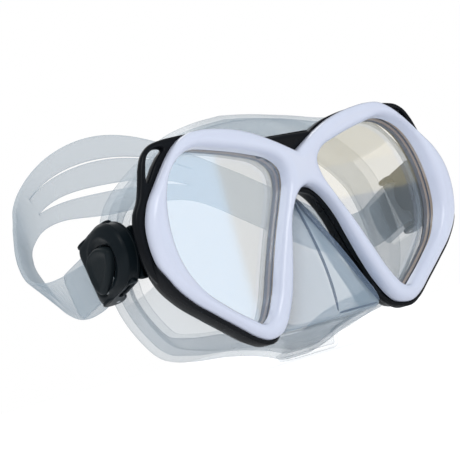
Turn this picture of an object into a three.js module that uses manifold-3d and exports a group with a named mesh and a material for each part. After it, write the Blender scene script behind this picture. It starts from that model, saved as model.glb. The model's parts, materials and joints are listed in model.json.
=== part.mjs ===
// A two-lens diving mask: white front trim, black frame, flat glass lenses, clear silicone
// skirt with a nose pocket, and a split silicone strap held by two swivelling side buckles.
//
// Units are millimetres. The mask is drawn in its own frame: X across the face with the
// middle of the nose at X = 0, the lens plane upright, -Y out of the front, +Z up. At the
// end the whole group is moved so that its origin is the bottom centre of its box.

import * as THREE from 'three';
import { mergeVertices } from 'three/addons/utils/BufferGeometryUtils.js';
import Module from 'manifold-3d';

const wasm = await Module();
wasm.setup();

// ---------------------------------------------------------------- driving dimensions

const gap = 0.3;                 // between pieces that touch
const bite = 0.6;                // how far solids of one piece run into each other
const foot = { z: -60 };         // flat underside of the skirt that the mask stands on
const depth = { front: -8, back: 140 };  // foremost and rearmost points, nose and strap

const trim = { front: 0, crest: 2.6, back: 6.5, slope: 2.4, lip: 1.2 };
// the frame is a thin face plate with ears, a core behind it that holds the lenses, a bridge
// between the lenses and a lug on each side
const frame = { front: 6.8, plate: 10.4, back: 15, ledge: 12.4, inset: 1, rim: 0.4, waist: 2.2,
  top: 28.6, web: 15, bridge: 21 };
const lens = { front: 7.0, thickness: 3.2, overlap: 1.6 };
const gasket = { front: 10.5, back: 12.1, width: 1.4 };
// at halfDepth of the wall's depth it is waist of the way from its front loop to its rear loop;
// the sealing lip ends between lipFront and lipBack before the sealing edge
const skirt = { front: 15.3, plate: 2.4, wall: 2.2, lip: 9, waist: 0.68, halfDepth: 0.5,
  lipFront: 1.8, lipBack: 0.4 };
const nose = { shoulder: 12.5, widthShare: 0.8, least: 0.3, middle: -30 };

const hub = { y: 26, z: -4, tilt: THREE.MathUtils.degToRad(-16) };   // buckle swivel axis
// the arm's blade runs from its clip behind the frame to the swivel; above and below are the
// heights of the clip over and under the swivel axis
const arm = { inner: 76, outer: 78.6, radius: 8.5, clip: 74, foot: 17.6, above: 9.4, below: 11,
  dip: 0.6 };
const body = { inner: 79, floor: 80.6, ceiling: 84.9, crown: 85.8, outer: 86.6, back: 17,
  corner: 5, half: 13.4, cheek: 1.6, step: 1 };
const pin = { radius: 2.9, clearance: 0.25, head: 4.7, headThickness: 0.6, start: 75,
  flange: 4.2, recess: 0.9, play: 0.1 };
const roller = { u: 12.6, x: 79.5, radius: 1.9, half: 11.2, axle: 0.8, play: 0.1, gap: 0.5,
  deck: 5.2, ear: 2.4 };
const button = { u: -0.6, w: -2.2, long: 9.8, short: 7, turn: -0.85, clearance: 0.35,
  floor: 83.0, flange: 84.5, top: 89.2, flangeWidth: 0.9, rounding: [1.4, 4] };
const spring = { halfLength: 7, bow: 0.5, thickness: 0.3, width: 4 };
// folded is the length of each end of the strap that lies in its buckle's own direction; the
// strap then twists, most at twistMiddle from its end, and is flat again at twistEnd
const strap = { thickness: 1.8, width: 20, pad: 38, padHalfLength: 62, folded: 34,
  padHeight: 45.6, twist: THREE.MathUtils.degToRad(42), twistMiddle: 86, twistEnd: 142 };
// the two slits as shares of the pad's half width, their half openings and half their length
// as a share of padHalfLength
const slit = { upper: 0.42, upperOpen: 0.5, lower: -0.3, lowerOpen: 1.6, reach: 0.76 };

const xAxis = new THREE.Vector3(1, 0, 0);

// ---------------------------------------------------------------- shape tools

function solidOf(geometry) {
  const bare = geometry.clone();
  bare.deleteAttribute('normal');
  bare.deleteAttribute('uv');
  const merged = mergeVertices(bare, 1e-4);
  return new wasm.Manifold(new wasm.Mesh({
    numProp: 3,
    vertProperties: new Float32Array(merged.attributes.position.array),
    triVerts: new Uint32Array(merged.index.array),
  }));
}

function geometryOf(solid) {
  const mesh = solid.getMesh();
  const geometry = new THREE.BufferGeometry();
  geometry.setAttribute('position', new THREE.BufferAttribute(mesh.vertProperties, 3));
  geometry.setIndex(new THREE.BufferAttribute(mesh.triVerts, 1));
  geometry.computeVertexNormals();
  return geometry;
}

function join(...geometries) {
  return geometryOf(geometries.map(solidOf).reduce((a, b) => a.add(b)));
}

function cut(geometry, ...tools) {
  return geometryOf(tools.map(solidOf).reduce((a, b) => a.subtract(b), solidOf(geometry)));
}

// The mirror image of a geometry in the plane X = 0.
function mirrored(geometry) {
  const copy = (geometry.index ? geometry : mergeVertices(geometry)).clone();
  copy.scale(-1, 1, 1);
  const index = copy.index.array;
  for (let i = 0; i < index.length; i += 3) {
    [index[i + 1], index[i + 2]] = [index[i + 2], index[i + 1]];
  }
  return copy;
}

// Evenly spaced points along a smooth curve through the given [x, z] points.
function smooth(points, segments, closed) {
  const curve = new THREE.CatmullRomCurve3(
    points.map(([x, z]) => new THREE.Vector3(x, z, 0)), closed, 'centripetal');
  const spaced = curve.getSpacedPoints(segments).map((p) => new THREE.Vector2(p.x, p.y));
  if (closed) spaced.pop();
  return spaced;
}

// A closed loop that is symmetric about X = 0, from the points of its right-hand half.
function symmetricLoop(halfPoints, segments) {
  const right = smooth(halfPoints, segments, false);
  const left = right.slice(1, -1).reverse().map((p) => new THREE.Vector2(-p.x, p.y));
  return right.concat(left);
}

// A loop moved outwards along its own normals by a distance (inwards if negative).
function grow(loop, distance) {
  const turn = Math.sign(THREE.ShapeUtils.area(loop));
  return loop.map((p, i) => {
    const before = loop[(i + loop.length - 1) % loop.length];
    const after = loop[(i + 1) % loop.length];
    const along = after.clone().sub(before).normalize();
    return new THREE.Vector2(p.x + along.y * turn * distance, p.y - along.x * turn * distance);
  });
}

// A flat plate in the XZ plane from one Y to another.
function plate(loop, yFront, yBack, holes = []) {
  const shape = new THREE.Shape(loop);
  shape.holes = holes.map((hole) => new THREE.Path(hole));
  const geometry = new THREE.ExtrudeGeometry(shape, { depth: yBack - yFront, bevelEnabled: false });
  return geometry.rotateX(Math.PI / 2).translate(0, yBack, 0);
}

// A closed solid through rings of 3-D points that all have the same count.
// capPlane names the two coordinates that the end caps are triangulated in.
function loft(rings, capPlane = ['x', 'z']) {
  const count = rings[0].length;
  const positions = rings.flat().flatMap((p) => [p.x, p.y, p.z]);
  const triangles = [];
  for (let r = 0; r + 1 < rings.length; r += 1) {
    for (let i = 0; i < count; i += 1) {
      const a = r * count + i;
      const b = r * count + (i + 1) % count;
      triangles.push(a, b, b + count, a, b + count, a + count);
    }
  }
  const last = (rings.length - 1) * count;
  for (const [a, b, c] of capOf(rings[0], capPlane)) triangles.push(a, c, b);
  for (const [a, b, c] of capOf(rings[rings.length - 1], capPlane)) {
    triangles.push(last + a, last + b, last + c);
  }
  return outward(positions, triangles);
}

// Triangles that fill a ring, each running round the same way as the ring.
function capOf(ring, [first, second]) {
  const flat = ring.map((p) => new THREE.Vector2(p[first], p[second]));
  const turn = Math.sign(THREE.ShapeUtils.area(flat));
  return THREE.ShapeUtils.triangulateShape(flat.slice(), []).map(([a, b, c]) => {
    const same = Math.sign(THREE.ShapeUtils.area([flat[a], flat[b], flat[c]])) === turn;
    return same ? [a, b, c] : [a, c, b];
  });
}

// A closed ring: the same closed section repeated all round a closed loop.
function hoop(sections) {
  const count = sections[0].length;
  const positions = sections.flat().flatMap((p) => [p.x, p.y, p.z]);
  const triangles = [];
  sections.forEach((section, s) => {
    const next = (s + 1) % sections.length;
    for (let i = 0; i < count; i += 1) {
      const j = (i + 1) % count;
      const a = s * count + i;
      const b = s * count + j;
      const c = next * count + j;
      const d = next * count + i;
      triangles.push(a, b, c, a, c, d);
    }
  });
  return outward(positions, triangles);
}

// An indexed geometry whose faces point out, whichever way its rings ran.
function outward(positions, triangles) {
  let volume = 0;
  const point = (i) => new THREE.Vector3(...positions.slice(3 * i, 3 * i + 3));
  for (let t = 0; t < triangles.length; t += 3) {
    const [a, b, c] = [point(triangles[t]), point(triangles[t + 1]), point(triangles[t + 2])];
    volume += a.dot(b.cross(c));
  }
  if (volume < 0) {
    for (let t = 0; t < triangles.length; t += 3) {
      [triangles[t + 1], triangles[t + 2]] = [triangles[t + 2], triangles[t + 1]];
    }
  }
  const geometry = new THREE.BufferGeometry();
  geometry.setAttribute('position', new THREE.Float32BufferAttribute(positions, 3));
  geometry.setIndex(triangles);
  return geometry;
}

// A 2-D loop placed in 3-D at one Y.
function ringAt(loop, y) {
  return loop.map((p) => new THREE.Vector3(p.x, y, p.y));
}

function box(x0, x1, y0, y1, z0, z1) {
  return new THREE.BoxGeometry(x1 - x0, y1 - y0, z1 - z0)
    .translate((x0 + x1) / 2, (y0 + y1) / 2, (z0 + z1) / 2);
}

// ---------------------------------------------------------------- outlines in X and Z

const lensCurve = [[8.7, 14.6], [13, 19.2], [22.4, 22.6], [37.5, 26.3], [49.4, 28], [57.6, 25.2],
  [64.4, 18.7], [69.4, 4.8], [69.2, -12.2], [63.4, -24.4], [54, -33.2], [44.9, -40],
  [39.3, -43.4], [34.9, -41.8], [29.8, -34.9], [24.5, -23.4], [18.6, -10.7], [12.7, 0.7],
  [9.2, 8.2]];

const trimCurve = [[0, 19.5], [10.6, 25.4], [20.5, 30], [29, 32.6], [36.6, 33.9], [43.6, 34.5],
  [49.9, 34], [55.4, 31.4], [60.4, 27.4], [69.8, 16.9], [74.8, 10.6], [78.2, 2.3],
  [78.5, -8.6], [75.2, -19.7], [68.5, -28.2], [59.8, -35.3], [50.7, -42.2], [43.4, -47.6],
  [38, -49.8], [32.5, -48.8], [28.6, -45.4], [23.4, -37.1], [19.9, -28.9], [15.3, -15.4],
  [13.4, -9.5], [10.5, -3.4], [6.9, 1.7], [3.4, 4.6], [0, 5.6]];

const frameCurve = [[0, 29], [16, 29], [23, 31.2], [30, 33.6], [37, 35], [45, 35.7], [53, 35.5],
  [60, 35], [65.5, 33.8], [70, 30.6], [73, 25.6], [75, 20], [77.4, 14], [81, 8.4], [82.4, 3],
  [82.4, -10], [80.4, -16.2], [75.4, -23], [68.6, -30.2], [59.6, -37.4], [50.9, -44.2],
  [44.3, -49.2], [38, -51.4], [31.8, -50.8], [26.8, -47.4], [24, -43], [20.6, -32],
  [17.2, -24], [14.8, -17], [12.6, -10.5], [9.5, -4], [5, 1.2], [0, 3]];

const earHoleCurve = [[59.5, 30.6], [63.6, 31], [67.6, 28.8], [70, 23.6], [71, 18.6],
  [69.4, 20.2], [65.6, 25], [62.4, 28.2]];

const lugCurve = [[64, 9], [72, 12], [76.5, 8], [78.4, 2], [78.4, -10], [76.4, -16], [70, -22],
  [64, -24]];

// The skirt's front edge behind the frame, and its rear sealing edge with its own Y.
const skirtFrontCurve = [[0, 25], [16, 27.5], [30, 31], [44, 33], [55, 29.5], [64, 21.5],
  [70.5, 12], [73, 2], [72.5, -9], [68.5, -20], [60, -30], [49, -40], [40, -45.5], [32, -48],
  [24, -49], [13, -50], [0, -50]];
const skirtRearCurve = [[0, 46.6], [15, 45.3], [29.5, 42], [40, 36.4], [53, 28.4], [63.5, 19.6],
  [69.8, 10], [72.5, 0], [73.4, -11], [73.4, -22], [69, -35], [61, -46], [48, -50],
  [34, -51.6], [24, -53.6], [15, -56.6], [8, -60.4], [0, -61]];
// the Y of the sealing edge at equal steps round the half loop, from the brow to the lip
const sealingSteps = [45, 45.5, 48, 51, 51, 49, 43, 39.5, 38];

const opening = smooth(lensCurve, 52, true);
const trimLoop = symmetricLoop(trimCurve, 52);
const frameLoop = symmetricLoop(frameCurve, 52);
const earHole = smooth(earHoleCurve, 16, true);

// ---------------------------------------------------------------- front trim, frame and lenses

function frontTrim() {
  const outside = loft([
    ringAt(grow(trimLoop, -trim.slope), trim.front),
    ringAt(trimLoop, trim.crest),
    ringAt(trimLoop, trim.back),
  ]);
  const window = loft([
    ringAt(grow(opening, trim.lip * 2), trim.front - 1),
    ringAt(grow(opening, trim.lip), trim.front + trim.lip),
    ringAt(opening, trim.crest + 2),
    ringAt(opening, trim.back + 1),
  ]);
  return cut(outside, window, mirrored(window));
}

function mainFrame() {
  const face = plate(grow(frameLoop, -frame.inset), frame.front, frame.plate);
  const core = loft([
    ringAt(grow(trimLoop, frame.rim), frame.plate - bite),
    ringAt(grow(trimLoop, -frame.waist), frame.back),
  ]);
  const lug = plate(smooth(lugCurve, 20, true), frame.plate - bite, frame.back);
  const bridge = box(-frame.web, frame.web, frame.plate - bite, frame.back, frame.bridge,
    frame.top + 1);
  const pocket = grow(opening, lens.overlap + gap);
  const through = grow(opening, gap);
  const cutters = [];
  for (const side of [(g) => g, mirrored]) {
    cutters.push(side(plate(pocket, frame.front - 1, frame.ledge)));
    cutters.push(side(plate(through, frame.ledge - 1, frame.back + 1)));
    cutters.push(side(plate(earHole, frame.front - 1, frame.back + 1)));
  }
  cutters.push(box(-frame.web, frame.web, 0, 30, frame.top, frame.top + 9));
  return cut(join(face, core, bridge, lug, mirrored(lug)), ...cutters);
}

function lensGlass() {
  return plate(grow(opening, lens.overlap), lens.front, lens.front + lens.thickness);
}

function lensGasket() {
  const outer = grow(opening, lens.overlap);
  const inner = grow(opening, lens.overlap - gasket.width);
  return cut(plate(outer, gasket.front, gasket.back),
    plate(inner, gasket.front - 1, gasket.back + 1));
}

// ---------------------------------------------------------------- skirt

// The nose pocket, as level sections: height, half width and Y of its flat front, and half
// width where it leaves the frame.
const noseLevels = [
  { z: 1.2, front: 1.0, y: 11.5, back: 3.0 },
  { z: -4, front: 1.6, y: 9.4, back: 7.6 },
  { z: -12, front: 3.0, y: 5.2, back: 12.0 },
  { z: -20, front: 4.6, y: 1.2, back: 14.6 },
  { z: -28, front: 6.2, y: -2.2, back: 17.6 },
  { z: -36, front: 8.0, y: -5.0, back: 20.8 },
  { z: -42, front: 9.8, y: -7.0, back: 22.8 },
  { z: -46.4, front: 11.0, y: -8.0, back: 25.2 },
  { z: -48.6, front: 11.4, y: -5.0, back: 25.4 },
  { z: -51, front: 11.6, y: 5.0, back: 24 },
  { z: -53.4, front: 11.8, y: 11.6, back: 20 },
];

// The lip pad under the nose pocket, as cross sections: Y, half width, and lowest and highest
// Z. Its flat underside is what the mask stands on.
const lipPad = [
  { y: 15.6, half: 12, low: -53.6, high: -51.2 },
  { y: 23.4, half: 12.6, low: -55, high: -52.4 },
  { y: 24.2, half: 13, low: foot.z, high: -53 },
  { y: 31, half: 11.4, low: foot.z, high: -55.4 },
  { y: 38.6, half: 9, low: foot.z, high: -57.6 },
];

function nosePocket(inset, yBack, drop) {
  const rings = noseLevels.map(({ z, front, y, back }) => {
    const f = Math.max(front - inset * nose.widthShare, nose.least);
    const b = Math.max(back - inset, 2 * nose.least);
    const half = [[f, y + inset], [b, nose.shoulder + inset], [b, yBack]];
    const level = z - drop * (z > nose.middle ? 1 : -1);
    return half.concat(half.map(([x, yy]) => [-x, yy]).reverse())
      .map(([x, yy]) => new THREE.Vector3(x, yy, level));
  });
  return loft(rings, ['x', 'y']);
}

const sealingCurve = new THREE.CatmullRomCurve3(
  sealingSteps.map((y, i) => new THREE.Vector3(i, y, 0)), false, 'centripetal');

// Y of the sealing edge at a share of the way round the whole rear loop.
function sealingDepth(share) {
  return sealingCurve.getPoint(share <= 0.5 ? share * 2 : (1 - share) * 2).y;
}

function skirtWall() {
  const front = symmetricLoop(skirtFrontCurve, 24);
  const rear = symmetricLoop(skirtRearCurve, 24);
  const innerFront = grow(front, -skirt.wall);
  const innerRear = grow(rear, -skirt.wall);
  const lipLoop = grow(rear, -skirt.lip);
  const middle = (a, b, share) => a.clone().lerp(b, share);
  const sections = front.map((p, i) => {
    const y = sealingDepth(i / front.length);
    const yMiddle = skirt.front + (y - skirt.front) * skirt.halfDepth;
    const at = (q, yy) => new THREE.Vector3(q.x, yy, q.y);
    return [
      at(p, skirt.front),
      at(middle(p, rear[i], skirt.waist), yMiddle),
      at(rear[i], y),
      at(lipLoop[i], y - skirt.lipBack),
      at(lipLoop[i], y - skirt.lipFront),
      at(innerRear[i], y - skirt.wall),
      at(middle(innerFront[i], innerRear[i], skirt.waist), yMiddle),
      at(innerFront[i], skirt.front),
    ];
  });
  return hoop(sections);
}

function skirtPart() {
  const wall = skirtWall();
  const carrier = plate(grow(symmetricLoop(skirtFrontCurve, 24), -bite), skirt.front,
    skirt.front + skirt.plate);
  const noseOutside = nosePocket(0, skirt.front + skirt.plate + bite, 0);
  const noseInside = nosePocket(skirt.wall, skirt.front + skirt.plate + 4, skirt.wall);
  const window = plate(grow(opening, 2 * gap), skirt.front - 1, skirt.front + skirt.plate + 2);
  const below = box(-90, 90, -20, 90, foot.z - 20, foot.z);
  const pad = loft(lipPad.map(({ y, half, low, high }) => ringAt(
    [[-half, low], [half, low], [half, high], [-half, high]]
      .map(([x, z]) => new THREE.Vector2(x, z)), y)));
  const shell = join(wall, carrier, noseOutside, pad);
  return cut(shell, noseInside, window, mirrored(window), below);
}

// ---------------------------------------------------------------- side buckles

// Buckle pieces are drawn with u along the strap, w across it and X outwards from the head,
// then turned about the swivel axis. Every buckle piece is drawn on the +X side.
function toBuckle(geometry) {
  return geometry.rotateX(hub.tilt).translate(0, hub.y, hub.z);
}

// An outline in (u, w) extruded from one X to another.
function slab(loop, xInner, xOuter, holes = []) {
  const shape = new THREE.Shape(loop);
  shape.holes = holes.map((hole) => new THREE.Path(hole));
  const geometry = new THREE.ExtrudeGeometry(shape, { depth: xOuter - xInner, bevelEnabled: false });
  // (u, w, depth) becomes (X = depth, Y = u, Z = w)
  const axes = new THREE.Matrix4().makeBasis(
    new THREE.Vector3(0, 1, 0), new THREE.Vector3(0, 0, 1), new THREE.Vector3(1, 0, 0));
  return geometry.applyMatrix4(axes).translate(xInner, 0, 0);
}

function circle(u, w, radius, segments = 20) {
  return ellipse(u, w, radius, radius, 0, segments);
}

function ellipse(u, w, a, b, turn, segments = 28) {
  return new THREE.EllipseCurve(u, w, a, b, 0, 2 * Math.PI, false, turn)
    .getPoints(segments).slice(0, -1);
}

// The body's outline: a half circle about the swivel axis at the front, and two round corners
// at the back, all moved in by an inset.
function bodyOutline(inset, back = body.back) {
  const radius = body.half - inset;
  const corner = Math.max(body.corner - inset, 1);
  const points = [];
  const arc = (u, w, r, start, end, segments) => {
    for (let i = 0; i <= segments; i += 1) {
      const angle = THREE.MathUtils.degToRad(start + (end - start) * i / segments);
      points.push(new THREE.Vector2(u + r * Math.cos(angle), w + r * Math.sin(angle)));
    }
  };
  arc(back - inset - corner, -radius + corner, corner, -90, 0, 4);
  arc(back - inset - corner, radius - corner, corner, 0, 90, 4);
  arc(0, 0, radius, 90, 270, 16);
  return points;
}

// The arm is fixed to the frame: a plate from the frame's side to the swivel hub, with a
// clip foot that hooks behind the frame.
function buckleArm() {
  const start = frame.back + gap - hub.y;
  const corner = arm.radius * Math.SQRT1_2;
  const bladeCurve = [[start, arm.above], [start / 2, arm.above - arm.dip], [0, arm.radius],
    [corner, corner], [arm.radius, 0], [corner, -corner], [0, -arm.radius],
    [start / 2, arm.dip - arm.below], [start, -arm.below]];
  const bladeLoop = bladeCurve.map(([y, z]) => new THREE.Vector2(y, z));
  const hole = circle(0, 0, pin.radius + pin.clearance);
  const blade = slab(bladeLoop, arm.inner, arm.outer, [hole]).translate(0, hub.y, hub.z);
  const clip = box(arm.clip, arm.outer, frame.back + gap, arm.foot, hub.z - arm.below,
    hub.z + arm.above);
  return join(blade, clip);
}

function pivotRivet() {
  const r = pin.radius;
  const inner = pin.start;
  const end = body.floor - pin.play;
  const headInner = end - pin.headThickness;
  const profile = [[0, inner], [pin.flange, inner], [pin.flange, arm.inner - gap],
    [r, arm.inner - gap], [r, headInner], [pin.head, headInner], [pin.head, end], [0, end]]
    .map(([radius, along]) => new THREE.Vector2(radius, along));
  const geometry = new THREE.LatheGeometry(profile, 20);
  return geometry.rotateZ(-Math.PI / 2).translate(0, hub.y, hub.z);
}

function buckleBody() {
  const { back, half, cheek } = body;
  const deckEnd = roller.u - roller.deck;
  const floor = cut(
    slab(bodyOutline(0, deckEnd), body.inner, body.floor),
    slab(circle(0, 0, pin.radius + pin.clearance), body.inner - 1, body.floor + 1),
    slab(circle(0, 0, pin.head + pin.clearance), body.floor - pin.recess, body.floor + 1));
  const buttonHole = ellipse(button.u, button.w, button.long + button.clearance,
    button.short + button.clearance, button.turn);
  const cover = slab(bodyOutline(0), body.ceiling, body.crown, [buttonHole]);
  const crown = slab(bodyOutline(body.step), body.crown - bite / 3, body.outer, [buttonHole]);
  const wall = cut(
    slab(bodyOutline(0), body.floor - bite, body.ceiling + bite, [bodyOutline(cheek)]),
    box(body.inner - 9, body.outer, deckEnd - 1, back + 5, -half - 1, half + 1));
  const ears = [-half, half - cheek].map((w) => (
    box(roller.x - roller.ear, body.ceiling + bite, deckEnd - roller.ear, roller.u + roller.ear,
      w, w + cheek)));
  const boreRadius = roller.axle + roller.play;
  const axleBore = new THREE.CylinderGeometry(boreRadius, boreRadius, 3 * half, 14)
    .rotateX(Math.PI / 2).translate(roller.x, roller.u, 0);
  return toBuckle(cut(join(floor, cover, crown, wall, ...ears), axleBore));
}

function strapRoller() {
  const r = roller.radius;
  const bore = roller.axle + roller.play;
  const profile = [[bore, -roller.half], [r, -roller.half], [r, roller.half], [bore, roller.half],
    [bore, -roller.half]].map(([radius, along]) => new THREE.Vector2(radius, along));
  const geometry = new THREE.LatheGeometry(profile, 16);
  return toBuckle(geometry.rotateX(Math.PI / 2).translate(roller.x, roller.u, 0));
}

function rollerAxle() {
  const length = 2 * (body.half - roller.play);
  return toBuckle(new THREE.CylinderGeometry(roller.axle, roller.axle, length, 14)
    .rotateX(Math.PI / 2).translate(roller.x, roller.u, 0));
}

function releaseButton() {
  const shape = (extra, x) => ellipse(button.u, button.w, button.long + extra,
    button.short + extra, button.turn).map((p) => new THREE.Vector3(x, p.x, p.y));
  const [edge, shoulder] = button.rounding;
  const plug = loft([shape(0, button.flange - bite / 3), shape(0, button.top - edge),
    shape(-edge, button.top - edge / 3), shape(-shoulder, button.top)], ['y', 'z']);
  const flange = slab(ellipse(button.u, button.w, button.long + button.flangeWidth,
    button.short + button.flangeWidth, button.turn), button.floor, button.flange);
  return toBuckle(join(plug, flange));
}

// A flat spring blade under the button, bowed towards the buckle's floor.
function buttonSpring() {
  const lower = [-1, -0.5, 0, 0.5, 1].map((share) => new THREE.Vector2(
    share * spring.halfLength, button.floor - gap - spring.bow * (1 - share * share)));
  const upper = lower.map((p) => new THREE.Vector2(p.x, p.y - spring.thickness)).reverse();
  const shape = new THREE.Shape(lower.concat(upper));
  const geometry = new THREE.ExtrudeGeometry(shape, { depth: spring.width, bevelEnabled: false });
  // (along, X, width) becomes (Y = along, X, Z = width)
  const axes = new THREE.Matrix4().makeBasis(
    new THREE.Vector3(0, 1, 0), new THREE.Vector3(1, 0, 0), new THREE.Vector3(0, 0, -1));
  return toBuckle(geometry.applyMatrix4(axes)
    .translate(0, button.u, button.w + spring.width / 2));
}

// ---------------------------------------------------------------- strap

// Points that the strap passes between its buckle and the pad behind the head.
const sideRun = [[79, 64, -13], [78.6, 76, -12], [77.2, 88, -8], [74.2, 99, -0.6],
  [69.8, 109.6, 8.4], [64, 119.6, 17.8], [56.4, 127.8, 27], [44.6, 134, 35.8],
  [26.4, 137.8, 42.8]];

// The strap's middle line on the +X side, from its folded tail round the roller to the middle
// of the pad behind the head.
function strapRoute() {
  const local = (u, x) => {
    const point = new THREE.Vector3(x, u, 0).applyAxisAngle(xAxis, hub.tilt);
    return point.add(new THREE.Vector3(0, hub.y, hub.z));
  };
  const wrap = roller.radius + roller.gap + strap.thickness / 2;
  const turn = [];
  for (let degrees = 90; degrees <= 270; degrees += 30) {
    const angle = THREE.MathUtils.degToRad(degrees);
    turn.push(local(roller.u + wrap * Math.cos(angle), roller.x + wrap * Math.sin(angle)));
  }
  const tail = [local(35, 84), local(26, 83.2), local(19, 82.6)];
  const fold = [local(18, 76.4), local(27, 77.4)];
  const head = sideRun.map(([x, y, z]) => new THREE.Vector3(x, y, z));
  head.push(new THREE.Vector3(0, depth.back - strap.thickness / 2, strap.padHeight));
  return tail.concat(turn, fold, head);
}

// Band edges across the strap at a distance from the pad's middle: three bands and two slits.
function bandEdges(distance) {
  const share = Math.min(distance / strap.padHalfLength, 1);
  const swell = 0.5 + 0.5 * Math.cos(Math.PI * share);
  const half = (strap.width + (strap.pad - strap.width) * swell) / 2;
  const open = Math.max(0, 1 - (distance / (slit.reach * strap.padHalfLength)) ** 2);
  const upper = half * slit.upper;
  const lower = half * slit.lower;
  return [-half, lower - slit.lowerOpen * open, lower + slit.lowerOpen * open,
    upper - slit.upperOpen * open, upper + slit.upperOpen * open, half];
}

// How far the strap is turned about its middle line at a distance from its nearer end, with
// its upper edge outwards.
function twistAt(fromEnd) {
  const { folded, twistMiddle, twistEnd } = strap;
  const share = fromEnd < twistMiddle ? (fromEnd - folded) / (twistMiddle - folded)
    : (twistEnd - fromEnd) / (twistEnd - twistMiddle);
  return strap.twist * THREE.MathUtils.smoothstep(share, 0, 1);
}

function strapPart() {
  const right = strapRoute();
  const left = right.slice(0, -1).reverse().map((p) => new THREE.Vector3(-p.x, p.y, p.z));
  const curve = new THREE.CatmullRomCurve3(right.concat(left), false, 'centripetal');
  const steps = 120;
  const length = curve.getLength();
  const stations = [];
  for (let i = 0; i <= steps; i += 1) {
    const share = i / steps;
    const centre = curve.getPointAt(share);
    const along = curve.getTangentAt(share);
    const fromEnd = Math.min(share, 1 - share) * length;
    const level = new THREE.Vector3(along.y, -along.x, 0).normalize();
    const across = fromEnd < strap.folded
      ? new THREE.Vector3(0, 0, 1).applyAxisAngle(xAxis, hub.tilt)
      : new THREE.Vector3().crossVectors(level, along).normalize();
    if (across.z < 0) across.negate();
    const turn = twistAt(fromEnd) * (centre.x * new THREE.Vector3()
      .crossVectors(along, across).x > 0 ? 1 : -1);
    const upright = across.clone();
    across.multiplyScalar(Math.cos(turn)).addScaledVector(
      new THREE.Vector3().crossVectors(along, upright).normalize(), Math.sin(turn));
    const outwards = new THREE.Vector3().crossVectors(along, across).normalize();
    stations.push({ centre, outwards, across, edges: bandEdges(Math.abs(share - 0.5) * length) });
  }
  return ribbon(stations, strap.thickness);
}

// A flat band with slits: at each station six edges across it bound three solid strips.
function ribbon(stations, thickness) {
  const positions = [];
  const triangles = [];
  const point = ({ centre, outwards, across, edges }, edge, side) => {
    const p = centre.clone().addScaledVector(across, edges[edge])
      .addScaledVector(outwards, side * thickness / 2);
    positions.push(p.x, p.y, p.z);
    return positions.length / 3 - 1;
  };
  const grid = stations.map((station) => station.edges.map((unused, edge) => (
    { top: point(station, edge, 1), bottom: point(station, edge, -1) })));
  const quad = (a, b, c, d) => triangles.push(a, b, c, a, c, d);
  const strips = [[0, 1], [2, 3], [4, 5]];
  for (let i = 0; i + 1 < grid.length; i += 1) {
    const [here, next] = [grid[i], grid[i + 1]];
    for (const [a, b] of strips) {
      quad(here[a].top, here[b].top, next[b].top, next[a].top);
      quad(here[a].bottom, next[a].bottom, next[b].bottom, here[b].bottom);
    }
    for (const edge of [0, 2, 4]) {
      if (edge === 0 || isOpen(stations[i], edge) || isOpen(stations[i + 1], edge)) {
        quad(here[edge].bottom, here[edge].top, next[edge].top, next[edge].bottom);
      }
    }
    for (const edge of [1, 3, 5]) {
      if (edge === 5 || isOpen(stations[i], edge + 1) || isOpen(stations[i + 1], edge + 1)) {
        quad(here[edge].top, here[edge].bottom, next[edge].bottom, next[edge].top);
      }
    }
  }
  for (const [a, b] of strips) {
    const [first, last] = [grid[0], grid[grid.length - 1]];
    quad(first[a].top, first[a].bottom, first[b].bottom, first[b].top);
    quad(last[a].top, last[b].top, last[b].bottom, last[a].bottom);
  }
  const geometry = outward(positions, triangles);
  return mergeVertices(geometry, 1e-4);
}

// True where the slit below this edge is open at a station.
function isOpen(station, edge) {
  return station.edges[edge] - station.edges[edge - 1] > 1e-3;
}

// ---------------------------------------------------------------- materials and assembly

const finishes = {
  whitePlastic: { color: 0xe4e2f2, roughness: 0.22, metalness: 0 },
  blackPlastic: { color: 0x14161a, roughness: 0.35, metalness: 0 },
  charcoalPlastic: { color: 0x202428, roughness: 0.5, metalness: 0 },
  glass: { color: 0xd8e8f0, roughness: 0.03, metalness: 0, transparent: true, opacity: 0.3 },
  silicone: { color: 0xd2dcdf, roughness: 0.35, metalness: 0, transparent: true, opacity: 0.5 },
  rubber: { color: 0x0e0f10, roughness: 0.7, metalness: 0 },
  steel: { color: 0xb9bdc2, roughness: 0.3, metalness: 1 },
};

const mask = new THREE.Group();

function addPart(name, geometry, finish) {
  const mesh = new THREE.Mesh(geometry, new THREE.MeshStandardMaterial(finishes[finish]));
  mesh.name = name;
  mask.add(mesh);
}

// A piece drawn on the +X side, and its mirror image on the other side.
function addPair(name, geometry, finish) {
  addPart(`${name}_right`, geometry, finish);
  addPart(`${name}_left`, mirrored(geometry), finish);
}

addPart('front_trim', frontTrim(), 'whitePlastic');
addPart('main_frame', mainFrame(), 'blackPlastic');
addPart('skirt', skirtPart(), 'silicone');
addPart('strap', strapPart(), 'silicone');
addPair('lens', lensGlass(), 'glass');
addPair('lens_gasket', lensGasket(), 'rubber');
addPair('buckle_arm', buckleArm(), 'charcoalPlastic');
addPair('pivot_rivet', pivotRivet(), 'steel');
addPair('buckle_body', buckleBody(), 'charcoalPlastic');
addPair('strap_roller', strapRoller(), 'charcoalPlastic');
addPair('roller_axle', rollerAxle(), 'steel');
addPair('release_button', releaseButton(), 'charcoalPlastic');
addPair('button_spring', buttonSpring(), 'steel');

mask.position.set(0, -(depth.front + depth.back) / 2, -foot.z);

const product = new THREE.Group();
product.add(mask);
export default product;
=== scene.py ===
"""A two-lens diving mask: the visual pieces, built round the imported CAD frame.

Shapes are worked out in millimetres in the mask's own frame, as in the CAD source: X across
the face, the lens plane upright, -Y out of the front, +Z up. place() moves them to the row
frame in metres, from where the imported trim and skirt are.
"""

import json
import math

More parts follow.
